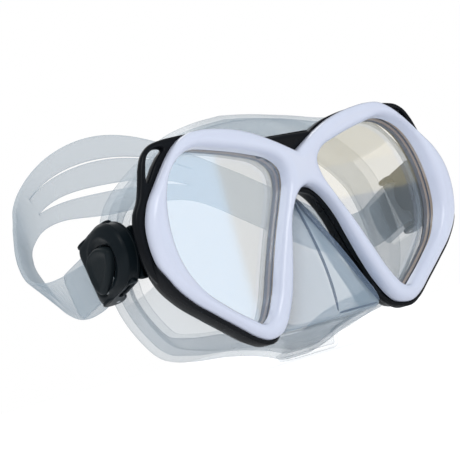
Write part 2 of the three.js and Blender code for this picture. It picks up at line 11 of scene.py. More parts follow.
import bpy
import numpy as np
from mathutils import Matrix, Vector
from mathutils.geometry import delaunay_2d_cdt


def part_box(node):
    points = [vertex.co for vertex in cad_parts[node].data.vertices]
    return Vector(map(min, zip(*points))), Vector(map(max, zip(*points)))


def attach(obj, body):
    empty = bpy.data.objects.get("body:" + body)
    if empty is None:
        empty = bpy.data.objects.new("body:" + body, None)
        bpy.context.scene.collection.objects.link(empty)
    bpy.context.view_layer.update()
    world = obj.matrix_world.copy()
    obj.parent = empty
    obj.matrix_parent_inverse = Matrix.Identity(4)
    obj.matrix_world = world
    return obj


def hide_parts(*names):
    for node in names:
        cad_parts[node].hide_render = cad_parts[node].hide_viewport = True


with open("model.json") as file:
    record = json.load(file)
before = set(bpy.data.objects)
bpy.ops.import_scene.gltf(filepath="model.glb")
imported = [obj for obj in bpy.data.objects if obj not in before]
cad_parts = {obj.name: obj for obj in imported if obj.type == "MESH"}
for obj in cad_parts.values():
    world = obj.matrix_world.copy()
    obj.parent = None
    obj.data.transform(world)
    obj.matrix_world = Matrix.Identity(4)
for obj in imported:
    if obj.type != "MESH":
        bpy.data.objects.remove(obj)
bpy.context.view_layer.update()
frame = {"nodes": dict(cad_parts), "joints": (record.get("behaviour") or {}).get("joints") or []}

# ---- driving dimensions, mm

MM = 0.001
FOOT_Z = -60.0                   # the skirt's flat underside in the mask's own frame
ORIGIN = np.array((0.0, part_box("front_trim")[0].y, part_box("skirt")[0].z - FOOT_Z * MM))


def node_mm(name):
    """Lowest and highest corner of a CAD node, in the mask's own frame."""
    low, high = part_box(name)
    return (np.array(low) - ORIGIN) / MM, (np.array(high) - ORIGIN) / MM


def joint_mm(name):
    """Where a joint's axis passes, in the mask's own frame."""
    for joint in frame["joints"]:
        if joint["name"] == name:
            return (np.array(joint["pos_m"]) - ORIGIN) / MM
    raise ValueError(name)


HUB = joint_mm("right_swivel")
ROLLER = joint_mm("right_roller_spin")
TILT = math.atan2(HUB[2] - ROLLER[2], ROLLER[1] - HUB[1])      # the buckle's droop
ROLLER_U = math.hypot(ROLLER[1] - HUB[1], ROLLER[2] - HUB[2])
TRIM_BACK = node_mm("front_trim")[1][1]
FRAME_FRONT = node_mm("main_frame")[0][1]
FRAME_BACK = node_mm("main_frame")[1][1]
FACE_THICKNESS = 3.6             # the thin face plate that carries the ears
FACE_BACK = FRAME_FRONT + FACE_THICKNESS
SKIRT_GAP = 0.3                  # between the frame and the skirt behind it
SKIRT_FRONT = FRAME_BACK + SKIRT_GAP
STRAP_BACK = node_mm("strap")[1][1]
COVER_TOP = node_mm("buckle_body_right")[1][0]
PAD_TOP = node_mm("release_button_right")[1][0]
STRAP_THICKNESS = 1.8
LENS_OVERLAP = 1.6               # how far a lens reaches behind the trim
SIDES = ("right", "left")

# ---- curves


def spline(points, count, closed=False, fine=24):
    """Evenly spaced points along a centripetal Catmull-Rom curve through the points."""
    p = np.array(points, float)
    n = len(p)

    def at(i):
        if closed:
            return p[i % n]
        if i < 0:
            return 2 * p[0] - p[1]
        if i >= n:
            return 2 * p[-1] - p[-2]
        return p[i]

    dense = []
    for i in range(n if closed else n - 1):
        a, b, c, d = at(i - 1), at(i), at(i + 1), at(i + 2)
        t0, t1, t2 = (max(np.linalg.norm(q - r) ** 0.5, 1e-6) for q, r in ((b, a), (c, b), (d, c)))
        m1 = ((b - a) / t0 - (c - a) / (t0 + t1) + (c - b) / t1) * t1
        m2 = ((c - b) / t1 - (d - b) / (t1 + t2) + (d - c) / t2) * t1
        for s in np.linspace(0, 1, fine, endpoint=False):
            dense.append(b + m1 * s + (3 * (c - b) - 2 * m1 - m2) * s ** 2
                         + (2 * (b - c) + m1 + m2) * s ** 3)
    dense.append(p[0] if closed else p[-1])
    dense = np.array(dense)
    length = np.concatenate(([0], np.cumsum(np.linalg.norm(np.diff(dense, axis=0), axis=1))))
    steps = np.linspace(0, length[-1], count, endpoint=not closed)
    return np.stack([np.interp(steps, length, dense[:, k]) for k in range(p.shape[1])], axis=1)


def symmetric(half, count):
    """A closed loop from its right-hand half, which runs from X = 0 to X = 0."""
    right = spline(half, count // 2 + 1)
    left = right[1:-1][::-1] * np.array([-1, 1])
    return np.concatenate((right, left))


def mirror(loop):
    """A flat loop's mirror image in X = 0, which runs the same way round."""
    return (loop * np.array([-1, 1]))[::-1]


def normals(loop):
    """Unit normals of a closed loop, pointing out of it."""
    along = np.roll(loop, -1, 0) - np.roll(loop, 1, 0)
    along /= np.linalg.norm(along, axis=1)[:, None] + 1e-12
    x, y = loop[:, 0], loop[:, 1]
    turn = np.sign(np.sum(x * np.roll(y, -1) - y * np.roll(x, -1)))
    return np.stack((along[:, 1], -along[:, 0]), axis=1) * turn


def grow(loop, distance):
    """A loop moved outwards by a distance, or inwards if it is negative."""
    return loop + normals(loop) * distance


def distance_to(points, loop):
    """Distance from each point to a closed polyline."""
    a, b = loop, np.roll(loop, -1, 0)
    ab = b - a
    best = np.zeros(len(points))
    batch = 500                  # points at a time, to keep the arrays small
    for k in range(0, len(points), batch):
        p = points[k:k + batch]
        t = np.clip(np.sum((p[:, None] - a) * ab, 2) / (np.sum(ab * ab, 1) + 1e-12), 0, 1)
        gap = np.linalg.norm(p[:, None] - (a + t[..., None] * ab), axis=2)
        best[k:k + batch] = np.min(gap, 1)
    return best


def nearest(points, loops):
    """Distance from each point to the nearest of several loops."""
    return np.min([distance_to(points, loop) for loop in loops], axis=0)


def inside(points, loop):
    """True for each point that lies inside a closed polyline."""
    x, y = points[:, 0], points[:, 1]
    result = np.zeros(len(points), bool)
    for (x0, y0), (x1, y1) in zip(loop, np.roll(loop, -1, 0)):
        if y0 == y1:
            continue
        crosses = ((y0 > y) != (y1 > y)) & (x < (x1 - x0) * (y - y0) / (y1 - y0) + x0)
        result ^= crosses
    return result


def within(points, outline, holes):
    """True for each point inside the outline and outside every hole."""
    good = inside(points, outline)
    for hole in holes:
        good &= ~inside(points, hole)
    return good


def fillet(distance, width, height):
    """How far a rounded edge falls below the face, at a distance from the edge."""
    t = np.clip(distance / width, 0, 1)
    return height * (1 - np.sqrt(np.clip(1 - (1 - t) ** 2, 0, 1)))


def ease(value, start, end):
    """0 before start, 1 after end and a smooth step between."""
    t = np.clip((value - start) / (end - start), 0, 1)
    return t * t * (3 - 2 * t)


# ---- meshes

# a plate's points keep clear of its loops: by a share of their ring's own distance, or of
# the grid's step
RING_ROOM, GRID_ROOM = 0.93, 0.45
MERGE_DISTANCE = 1e-5
NO_HOLE = 1e3                    # the distance to the nearest hole where there is none


def place(points):
    """Millimetres in the mask's own frame to metres in the row frame."""
    return np.asarray(points, float) * MM + ORIGIN


def piece(name, solid, finish, body, replaces=(), sharp=None):
    """A finished object from points in mm and their faces, which are turned outwards. Edges
    sharper than the angle sharp, in degrees, stay crisp."""
    points, faces = solid
    mesh = bpy.data.meshes.new(name)
    mesh.from_pydata([tuple(p) for p in place(points)], [],
                     [tuple(map(int, f)) for f in outwards(points, faces)])
    mesh.validate()
    mesh.shade_smooth()
    if sharp:
        mesh.set_sharp_from_angle(angle=math.radians(sharp))
    mesh.materials.append(MATERIALS[finish])
    thing = bpy.data.objects.new(name, mesh)
    bpy.context.scene.collection.objects.link(thing)
    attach(thing, body)
    if replaces:
        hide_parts(*replaces)
    return thing


def outwards(points, faces):
    """The faces, all turned round if the closed surface is inside out."""
    points = np.asarray(points, float)
    volume = 0.0
    for f in faces:
        a = points[f[0]]
        for i in range(1, len(f) - 1):
            volume += np.dot(a, np.cross(points[f[i]], points[f[i + 1]]))
    return faces if volume > 0 else [f[::-1] for f in faces]


def merged(parts):
    """One list of points and faces from several."""
    points, faces = [], []
    for p, f in parts:
        base = sum(len(q) for q in points)
        points.append(np.asarray(p, float))
        faces += [[i + base for i in face] for face in outwards(p, f)]
    return np.concatenate(points), faces


def even_grid(outline, step):
    """Points on a triangular grid over an outline's box."""
    low, high = outline.min(0), outline.max(0)
    row_pitch = step * 0.87      # close to the height of an even triangle
    rows = []
    for r, b in enumerate(np.arange(low[1] + step / 2, high[1], row_pitch)):
        a = np.arange(low[0] + (step / 2 if r % 2 else 0), high[0], step)
        rows.append(np.stack((a, np.full(len(a), b)), 1))
    return np.concatenate(rows)


def spread(outline, holes, step, rings, grid):
    """A plate's points: its loops, rings beside each loop, and a grid between them."""
    loops = [outline] + list(holes)
    extra = []
    for k, loop in enumerate(loops):
        for ring in rings:
            extra.append((grow(loop, -ring if k == 0 else ring), ring * RING_ROOM))
    extra.append((grid, rings[-1] + step * GRID_ROOM if rings else step / 2))
    kept = []
    for candidates, least in extra:
        candidates = candidates[within(candidates, outline, holes)]
        kept.append(candidates[nearest(candidates, loops) >= least])
    return np.concatenate(loops + kept)


def two_sided(faces, count):
    """A sheet's faces, their copies on its other side, and the walls round its edges."""
    used = dict.fromkeys((f[i], f[(i + 1) % len(f)]) for f in faces for i in range(len(f)))
    walls = [[a + count, b + count, b, a] for a, b in used if (b, a) not in used]
    return faces + [[i + count for i in f[::-1]] for f in faces] + walls


def relief(outline, holes, front, back, step, rings=(0.25, 0.6, 1.1, 1.8), grid=None):
    """A plate in (a, b) whose two faces are shaped. front and back take the points and their
    distances to the outline and to the nearest hole, and give the third coordinate."""
    if grid is None:
        grid = even_grid(outline, step)
    flat = spread(outline, holes, step, rings, grid)
    edges = []
    start = 0
    for loop in [outline] + list(holes):
        n = len(loop)
        edges += [(start + i, start + (i + 1) % n) for i in range(n)]
        start += n
    made = delaunay_2d_cdt([Vector(p) for p in flat], edges, [], 1, MERGE_DISTANCE)
    flat = np.array([tuple(p) for p in made[0]])
    faces = np.array(made[2])
    faces = faces[within(flat[faces].mean(1), outline, holes)]
    out = distance_to(flat, outline)
    near = nearest(flat, holes) if holes else np.full(len(flat), NO_HOLE)
    first = np.column_stack((flat, front(flat, out, near)))
    second = np.column_stack((flat, back(flat, out, near)))
    return np.concatenate((first, second)), two_sided(faces.tolist(), len(flat))


def in_face(points):
    """(x, z, y) to (x, y, z)."""
    return points[:, [0, 2, 1]]


def level(value):
    """A flat face for relief()."""
    return lambda p, out, near: np.full(len(p), float(value))


def rounded(value, width, height):
    """A flat face for relief() whose outer edge falls by a height, or rises if it is negative."""
    return lambda p, out, near: value - fillet(out, width, height)


def quads(size, pairs):
    """Faces between pairs of closed sections that have size points each."""
    faces = []
    for s, t in pairs:
        for i in range(size):
            j = (i + 1) % size
            faces.append([s * size + i, s * size + j, t * size + j, t * size + i])
    return faces


def hoop(sections):
    """A closed ring of closed sections."""
    count, size = sections.shape[:2]
    return sections.reshape(-1, 3), quads(size, [(s, (s + 1) % count) for s in range(count)])


def tube(sections):
    """A solid through closed sections, closed by a fan at each end."""
    count, size = sections.shape[:2]
    faces = quads(size, [(s, s + 1) for s in range(count - 1)])
    points = sections.reshape(-1, 3)
    ends = [sections[0].mean(0), sections[-1].mean(0)]
    base = len(points)
    for i in range(size):
        j = (i + 1) % size
        faces.append([base, j, i])
        faces.append([base + 1, (count - 1) * size + i, (count - 1) * size + j])
    return np.concatenate((points, ends)), faces


def section(point, normal, profile):
    """A profile of (distance outwards, Y) at a point of a flat loop."""
    return [(point[0] + normal[0] * d, y, point[1] + normal[1] * d) for d, y in profile]


def shell(grid, thickness):
    """A sheet of even thickness from a grid of points on one side of it."""
    rows, columns = grid.shape[:2]
    along = np.gradient(grid, axis=0)
    across = np.gradient(grid, axis=1)
    normal = np.cross(across, along)
    normal /= np.linalg.norm(normal, axis=2)[..., None] + 1e-12
    points = np.concatenate((grid.reshape(-1, 3), (grid + normal * thickness).reshape(-1, 3)))
    corners = [r * columns + c for r in range(rows - 1) for c in range(columns - 1)]
    faces = [[a, a + 1, a + columns + 1, a + columns] for a in corners]
    return points, two_sided(faces, rows * columns)


def soft_path(points, radius, straight, round_steps):
    """An open path with its corners rounded, always with the same number of points."""
    p = np.array(points, float)
    result = []
    here = p[0]
    for i in range(1, len(p)):
        last = i == len(p) - 1
        before = p[i] - p[i - 1]
        size = np.linalg.norm(before) + 1e-9
        trim = 0 if last else min(radius, 0.45 * size)
        stop = p[i] - before / size * trim
        result += [here + (stop - here) * t for t in np.linspace(0, 1, straight, endpoint=False)]
        if last:
            result.append(stop)
            break
        after = p[i + 1] - p[i]
        length = np.linalg.norm(after) + 1e-9
        go = p[i] + after / length * min(radius, 0.45 * length)
        for t in np.linspace(0, 1, round_steps, endpoint=False):
            result.append((1 - t) ** 2 * stop + 2 * t * (1 - t) * p[i] + t * t * go)
        here = go
    return np.array(result)


def painted_shade_strand(path, radius, sides=10):
    """A round strand along a path, thinning away at both ends, which carries the dark lines of
    painted shade on the nose pocket.
    """
    along = np.gradient(path, axis=0)
    along /= np.linalg.norm(along, axis=1)[:, None]
    sections = []
    for i, (p, t) in enumerate(zip(path, along)):
        first = np.cross(t, (0.3, 0.8, 0.5))
        first /= np.linalg.norm(first)
        second = np.cross(t, first)
        r = radius * math.sqrt(max(0.02, 1 - (2 * i / (len(path) - 1) - 1) ** 8))
        sections.append([p + r * (first * math.cos(a) + second * math.sin(a))
                         for a in np.arange(sides) * 2 * math.pi / sides])
    return tube(np.array(sections))


def flipped(points, faces):
    """The mirror image in X = 0."""
    return points * np.array([-1, 1, 1]), [f[::-1] for f in faces]


# ---- materials

BROADER = 22                     # how much coarser the uneven colour is than the grain
GRAIN_HEIGHT = 0.0002            # metres
COATED = {"Coat_Weight": 0.6, "Coat_Roughness": 0.06}
DARK = {"Specular_IOR_Level": 0.13}
METAL = {"Metallic": 1.0}
# each finish: the material's name, colour, roughness and other inputs; how far it is seen
# through, as alpha facing the eye, alpha at the edge and power; and its grain, as scale, bump,
# range of roughness and second colour
FINISHES = {
    "trim": ("white_trim", (0.80, 0.85, 1.0), 0.22, COATED, None,
             (900, 0.05, (0.2, 0.3), (0.76, 0.80, 0.97))),
    "frame": ("black_frame", (0.006, 0.007, 0.009), 0.26, DARK, None,
              (1400, 0.1, (0.2, 0.32), (0.009, 0.011, 0.014))),
    "buckle": ("buckle_plastic", (0.005, 0.009, 0.012), 0.3, DARK, None,
               (2600, 0.2, (0.24, 0.36), (0.008, 0.013, 0.017))),
    "button": ("button_plastic", (0.009, 0.014, 0.017), 0.4, DARK, None,
               (3400, 0.3, (0.34, 0.46), (0.012, 0.018, 0.022))),
    "rubber": ("gasket_rubber", (0.012, 0.012, 0.014), 0.6, {}, None, (2200, 0.3, (0.55, 0.7))),
    "steel": ("steel", (0.55, 0.56, 0.58), 0.3, METAL, None, (3000, 0.15, (0.24, 0.4))),
    "dark_steel": ("dark_steel", (0.03, 0.034, 0.04), 0.4, METAL, None,
                   (3000, 0.15, (0.34, 0.5))),
    "roller": ("roller_plastic", (0.42, 0.43, 0.42), 0.25, {}, None,
               (2600, 0.1, (0.2, 0.34), (0.5, 0.5, 0.46))),
    "silicone": ("clear_silicone", (0.42, 0.53, 0.62), 0.24, {}, (0.23, 0.44, 2.2),
                 (240, 0.06, (0.2, 0.34), (0.48, 0.58, 0.66))),
    # thin silicone of the second lip and the temple panels; under the nose the same clearer
    # silicone lifts the shade there, painted light
    "thin": ("thin_silicone_and_lifted_shade", (0.42, 0.53, 0.62), 0.2, {}, (0.08, 0.42, 2.4),
             (240, 0.06, (0.16, 0.3), (0.48, 0.58, 0.66))),
    "nose": ("nose_silicone", (0.42, 0.53, 0.64), 0.14, {}, (0.40, 0.46, 2.2),
             (200, 0.05, (0.1, 0.2), (0.48, 0.59, 0.69))),
    # dark blue strands of painted shade along the nose pocket's front corners and base
    "painted_shade_strand": ("painted_shade_silicone", (0.10, 0.15, 0.26), 0.16, {}, (0.55, 0.85, 1.6),
             (260, 0.05, (0.1, 0.22), (0.2, 0.27, 0.36))),
    "strap": ("strap_silicone", (0.43, 0.52, 0.60), 0.32, {}, (0.34, 0.84, 2.0),
              (320, 0.1, (0.26, 0.42), (0.49, 0.58, 0.65))),
    "amber": ("amber_edge", (0.62, 0.40, 0.22), 0.2, {}, None,
              (300, 0.05, (0.15, 0.3), (0.72, 0.55, 0.38))),
}
# the two lenses share one mirror coat; giving it a different strength on each side paints a
# brighter reflection on the left lens than on the right
LENS_COAT_PAINTED_PER_SIDE = {"left": 0.33, "right": 0.17}     # alpha of each lens's mirror coat, face on


def principled(name, colour, roughness, **values):
    """A new material and its shader. Underscores in the values' names stand for spaces."""
    material = bpy.data.materials.new(name)
    material.use_nodes = True
    shader = material.node_tree.nodes["Principled BSDF"]
    shader.inputs["Base Color"].default_value = (*colour, 1)
    shader.inputs["Roughness"].default_value = roughness
    for key, value in values.items():
        shader.inputs[key.replace("_", " ")].default_value = value
    return material, shader


def node(owner, kind, **values):
    """A new node in a material or world, with its inputs or settings by name."""
    made = owner.node_tree.nodes.new(kind)
    for key, value in values.items():
        if key in made.inputs:
            made.inputs[key].default_value = value
        else:
            setattr(made, key, value)
    return made


def map_range(owner, source, low, high, from_low=0.0):
    """A source socket's value between from_low and 1 taken to one between low and high."""
    made = node(owner, "ShaderNodeMapRange")
    made.inputs["From Min"].default_value = from_low
    made.inputs["To Min"].default_value = low
    made.inputs["To Max"].default_value = high
    owner.node_tree.links.new(source, made.inputs["Value"])
    return made.outputs["Result"]


def speckle(material, scale, detail):
    """Noise that is fixed to the object."""
    where = node(material, "ShaderNodeTexCoord")
    texture = node(material, "ShaderNodeTexNoise", Scale=scale, Detail=detail)
    material.node_tree.links.new(where.outputs["Object"], texture.inputs["Vector"])
    return texture.outputs["Fac"]


def grain(material, shader, scale, depth, roughness, tint=None):
    """Fine moulded grain: bump, uneven roughness and, with a tint, faint uneven colour."""
    link = material.node_tree.links.new
    fine = speckle(material, scale, 4.0)
    broad = speckle(material, scale / BROADER, 3.0)
    bump = node(material, "ShaderNodeBump", Strength=depth, Distance=GRAIN_HEIGHT)
    link(fine, bump.inputs["Height"])
    link(bump.outputs["Normal"], shader.inputs["Normal"])
    link(map_range(material, broad, *roughness), shader.inputs["Roughness"])
    if tint:
        # inputs 6 and 7 are the two colours and output 2 is their mix
        mix = node(material, "ShaderNodeMix", data_type="RGBA")
        mix.inputs[6].default_value = shader.inputs["Base Color"].default_value
        mix.inputs[7].default_value = (*tint, 1)
        link(broad, mix.inputs[0])
        link(mix.outputs[2], shader.inputs["Base Color"])
    return material


def see_through(material, shader, facing, edge, power):
    """Alpha that rises from facing to edge as the surface turns away."""
    link = material.node_tree.links.new
    weight = node(material, "ShaderNodeLayerWeight", Blend=0.5)
    curve = node(material, "ShaderNodeMath", operation="POWER")
    curve.inputs[1].default_value = power
    link(weight.outputs["Facing"], curve.inputs[0])
    link(map_range(material, curve.outputs[0], facing, edge), shader.inputs["Alpha"])


def make_materials():
    """Every finish by its key."""
    made = {}
    for key, (name, colour, roughness, values, clear, texture) in FINISHES.items():
        material, shader = principled(name, colour, roughness, **values)
        if clear:
            see_through(material, shader, *clear)
        made[key] = grain(material, shader, *texture)
    # each lens gets its own strength of the same coat, a painted difference in how bright its
    # reflection is
    for side, facing in LENS_COAT_PAINTED_PER_SIDE.items():
        made[f"lens_{side}"] = lens_material(f"lens_glass_{side}", facing)
    return made


def lens_material(name, facing):
    """Clear glass with a faint mirror coat, smeared a little."""
    material, shader = principled(name, (0.90, 0.96, 1.0), 0.03, Metallic=1.0)
    see_through(material, shader, facing, 0.7, 3.0)
    smears = map_range(material, speckle(material, 60.0, 3.0), 0.015, 0.06)
    material.node_tree.links.new(smears, shader.inputs["Roughness"])
    return material


MATERIALS = make_materials()

# ---- camera, floor and light

CAMERA_ANGLES = (-37.8, -4.3, -15.7)          # azimuth, elevation and roll in degrees
# the camera's place from the middle of the lens plane, in mm: back, right and up
CAMERA_DISTANCE, CAMERA_RIGHT, CAMERA_UP = 599.9, -33.3, -13.2
CAMERA_LENS, CAMERA_SENSOR = 118.5, 36
FLOOR_HALF, FLOOR_DROP = 6.0, 0.0005          # metres
FLOOR_LIT, FLOOR_SEEN = 0.3, 0.76             # its glow on the mask and to the camera
BRIGHT_SIDE = (-0.45, -0.35, 0.82)            # where most of the background's light is from
LIT_SPOT = (0, -0.03, 0.06)                   # what the lamps point at, metres
CARD_Y = -0.766
# each card's lowest and highest (x, z) in metres, and its colour
CARDS = {
    "sky_card": ((0.36, 0.015), (0.515, 0.27), (0.40, 0.54, 0.70)),
    "beige_card": ((0.515, 0.015), (0.59, 0.27), (0.30, 0.28, 0.25)),
    "amber_card": ((0.60, 0.165), (0.82, 0.30), (0.60, 0.42, 0.10)),
    "low_amber_card": ((0.60, 0.13), (0.82, 0.165), (0.46, 0.34, 0.12)),
}
# each lamp's place and size in metres, its power and colour, and whether mirrors show it
LAMPS = {
    "key": ((-0.55, -0.75, 0.85), (0.6, 0.5), 2.6, (1, 0.99, 0.97), True),
    "fill": ((0.7, -0.6, 0.35), (0.5, 0.6), 0.8, (0.9, 0.95, 1), False),
    "rim": ((0.2, 0.8, 0.7), (0.8, 0.4), 1.2, (1, 1, 1), True),
}


def make_camera():
    """The camera, turned by its azimuth, elevation and roll."""
    azimuth, elevation, roll = (math.radians(t) for t in CAMERA_ANGLES)
    back = Vector((math.sin(azimuth) * math.cos(elevation),
                   -math.cos(azimuth) * math.cos(elevation), math.sin(elevation)))
    level_right = Vector((math.cos(azimuth), math.sin(azimuth), 0))
    level_up = back.cross(level_right)
    right = math.cos(roll) * level_right + math.sin(roll) * level_up
    up = math.cos(roll) * level_up - math.sin(roll) * level_right
    where = back * CAMERA_DISTANCE + right * CAMERA_RIGHT + up * CAMERA_UP
    data = bpy.data.cameras.new("camera")
    data.sensor_width = CAMERA_SENSOR
    data.lens = CAMERA_LENS
    camera = bpy.data.objects.new("camera", data)
    bpy.context.scene.collection.objects.link(camera)
    matrix = Matrix((right, up, back)).transposed().to_4x4()
    matrix.translation = Vector(place(where))
    camera.matrix_world = matrix
    bpy.context.scene.camera = camera


def make_floor():
    """A pale floor, bright to the camera but a weak light on the mask."""
    size = FLOOR_HALF
    mesh = bpy.data.meshes.new("floor")
    mesh.from_pydata([(-size, -size, 0), (size, -size, 0), (size, size, 0), (-size, size, 0)],
                     [], [(0, 1, 2, 3)])
    material, shader = principled("pale_floor", (0.6, 0.6, 0.61), 0.7, Specular_IOR_Level=0.0,
                                  Emission_Color=(1, 1, 1, 1))
    seen = node(material, "ShaderNodeLightPath").outputs["Is Camera Ray"]
    glow = map_range(material, seen, FLOOR_LIT, FLOOR_SEEN)
    material.node_tree.links.new(glow, shader.inputs["Emission Strength"])
    mesh.materials.append(material)
    floor = bpy.data.objects.new("floor", mesh)
    floor.location.z = -FLOOR_DROP
    bpy.context.scene.collection.objects.link(floor)


def make_world():
    """White to the camera. As a light it is brighter from above and the left, and mirrors see
    it at half strength, as a darker room."""
    world = bpy.data.worlds.new("studio")
    bpy.context.scene.world = world
    world.use_nodes = True
    world.node_tree.nodes.clear()
    link = world.node_tree.links.new
    out = node(world, "ShaderNodeOutputWorld")
    seen = node(world, "ShaderNodeBackground", Color=(1, 1, 1, 1))
    lit = node(world, "ShaderNodeBackground", Color=(0.94, 0.975, 1, 1))
    where = node(world, "ShaderNodeTexCoord")
    turned = node(world, "ShaderNodeVectorMath", operation="DOT_PRODUCT")
    turned.inputs[1].default_value = Vector(BRIGHT_SIDE).normalized()
    path = node(world, "ShaderNodeLightPath")
    product = node(world, "ShaderNodeMath", operation="MULTIPLY")
    mix = node(world, "ShaderNodeMixShader")
    link(where.outputs["Generated"], turned.inputs[0])
    sky = map_range(world, turned.outputs["Value"], 0.3, 0.8, from_low=-1.0)
    link(map_range(world, path.outputs["Is Glossy Ray"], 1.0, 0.5), product.inputs[0])
    link(sky, product.inputs[1])
    link(product.outputs[0], lit.inputs["Strength"])
    link(path.outputs["Is Camera Ray"], mix.inputs[0])
    link(lit.outputs[0], mix.inputs[1])
    link(seen.outputs[0], mix.inputs[2])
    link(mix.outputs[0], out.inputs[0])


def area_light(name, size, power, colour):
    """A rectangular light that the camera doesn't see."""
    data = bpy.data.lights.new(name, "AREA")
    data.shape = "RECTANGLE"
    data.size, data.size_y = size
    data.energy = power
    data.color = colour
    light = bpy.data.objects.new(name, data)
    light.visible_camera = False
    bpy.context.scene.collection.objects.link(light)
    return light


def make_card(name, low, high, colour):
    """A coloured card in front of the mask that only glossy faces mirror."""
    width, height = high[0] - low[0], high[1] - low[1]
    card = area_light(name, (width, height), math.pi * width * height, colour)
    card.location = ((low[0] + high[0]) / 2, CARD_Y, (low[1] + high[1]) / 2)
    card.rotation_euler = (-math.pi / 2, 0, math.pi)
    card.visible_diffuse = False


def make_lights():
    """The cards and the lamps."""
    for name, card in CARDS.items():
        make_card(name, *card)
    for name, (where, size, power, colour, mirrored) in LAMPS.items():
        lamp = area_light(name, size, power, colour)
        lamp.location = where
        aim = Vector(LIT_SPOT) - Vector(where)
        lamp.rotation_euler = aim.to_track_quat("-Z", "Y").to_euler()
        lamp.visible_glossy = mirrored


bpy.context.scene.view_settings.view_transform = "Standard"
make_camera()
make_floor()
make_world()
make_lights()

# ---- outlines in (x, z), mm

LENS = [(8.7, 14.6), (13, 19.2), (22.4, 22.6), (37.5, 26.3), (49.4, 28), (57.6, 25.2),
        (64.4, 18.7), (69.4, 4.8), (69.2, -12.2), (63.4, -24.4), (54, -33.2), (44.9, -40),
        (39.3, -43.4), (34.9, -41.8), (29.8, -34.9), (24.5, -23.4), (18.6, -10.7), (12.7, 0.7),
        (9.2, 8.2)]
TRIM = [(0, 19.5), (10.6, 25.4), (20.5, 30), (29, 32.6), (36.6, 33.9), (43.6, 34.5),
        (49.9, 34), (55.4, 31.4), (60.4, 27.4), (69.8, 16.9), (74.8, 10.6), (78.2, 2.3),
        (78.5, -8.6), (75.2, -19.7), (68.5, -28.2), (59.8, -35.3), (50.7, -42.2), (43.4, -47.6),
        (38, -49.8), (32.5, -48.8), (28.6, -45.4), (23.4, -37.1), (19.9, -28.9), (15.3, -15.4),
        (13.4, -9.5), (10.5, -3.4), (6.9, 1.7), (3.4, 4.6), (0, 5.6)]
FRAME = [(0, 29), (16, 29), (23, 31.2), (30, 33.6), (37, 35), (45, 35.7), (53, 35.5),
         (60, 35), (65.5, 33.8), (70, 30.6), (73, 25.6), (75, 20), (77.4, 14), (81, 8.4),
         (82.4, 3), (82.4, -10), (80.4, -16.2), (75.4, -23), (68.6, -30.2), (59.6, -37.4),
         (50.9, -44.2), (44.3, -49.2), (38, -51.4), (31.8, -50.8), (26.8, -47.4), (24, -43),
         (20.6, -32), (17.2, -24), (14.8, -17), (12.6, -10.5), (9.5, -4), (5, 1.2), (0, 3)]
EAR_HOLE = [(59.5, 30.6), (63.6, 31), (67.6, 28.8), (70, 23.6), (71, 18.6), (69.4, 20.2),
            (65.6, 25), (62.4, 28.2)]
LUG = [(72, 8), (73.2, 12), (76.5, 8), (78.4, 2), (78.4, -10), (76.4, -16), (72.4, -20),
       (70.6, -18), (72.8, -8), (73, 2)]
BRIDGE_BOX = (-14.8, 14.8, 20.5, 28.6)        # its least and greatest x, then z

opening = spline(LENS, 190, True)
trim_loop = symmetric(TRIM, 420)
frame_loop = grow(symmetric(FRAME, 420), -1)
ear_hole = spline(EAR_HOLE, 60, True)

# ---- front trim and frame


def build_trim():
    """A glossy band with a rounded crown, a lip that falls to the lens, and a shallow groove
    along the lower outer side of each lens."""
    outer_edge, lens_edge = (3.0, 2.9), (2.7, 3.2)
    groove_in, groove_width, groove_depth = 4.4, 0.9, 0.5

    def front(p, out, near):
        edge = np.maximum(fillet(out, *outer_edge), fillet(near, *lens_edge))
        low = ease(-p[:, 1], -2, 12) * ease(np.abs(p[:, 0]), 38, 52)
        return edge + groove_depth * low * np.exp(-((out - groove_in) / groove_width) ** 2)

    points, faces = relief(trim_loop, [opening, mirror(opening)], front,
                           rounded(TRIM_BACK, 0.8, 0.6), 1.3)
    piece("trim_shell", (in_face(points), faces), "trim", "mask", ["front_trim"], 45)


def build_frame():
    """The thin face plate with its ears, the core behind it, the bridge and the side lugs."""
    seat = grow(opening, LENS_OVERLAP + 0.3)
    core_hole = grow(opening, 1.5)
    ear_holes = [ear_hole, mirror(ear_hole)]
    behind_face, lug_back = level(FACE_BACK - 0.8), rounded(FRAME_BACK, 2.2, 2)

    def face_front(p, out, near):
        return FRAME_FRONT + np.maximum(fillet(out, 1.5, 1.3),
                                        fillet(nearest(p, ear_holes), 1.3, 1.2))

    def core_back(p, out, near):
        return FRAME_BACK - np.maximum(fillet(out, 1.6, 1.5), fillet(near, 0.8, 0.5))

    face = relief(frame_loop, [seat, mirror(seat)] + ear_holes, face_front,
                  rounded(FACE_BACK, 1.4, 1.2), 1.6)
    core = relief(grow(trim_loop, 0.3), [core_hole, mirror(core_hole)], behind_face, core_back,
                  1.8)
    lug = relief(spline(LUG, 90, True), [], behind_face, lug_back, 1.6)
    bridge = relief(rounded_box(*BRIDGE_BOX, 1.2), [], behind_face, lug_back, 1.2)
    parts = [(in_face(p), f) for p, f in (face, core, lug, bridge)]
    parts.append(flipped(*parts[2]))
    for name, part in zip(("frame_face", "frame_core", "frame_lug_right", "frame_bridge",
                           "frame_lug_left"), parts):
        piece(name, part, "frame", "mask", ["main_frame"], 50)


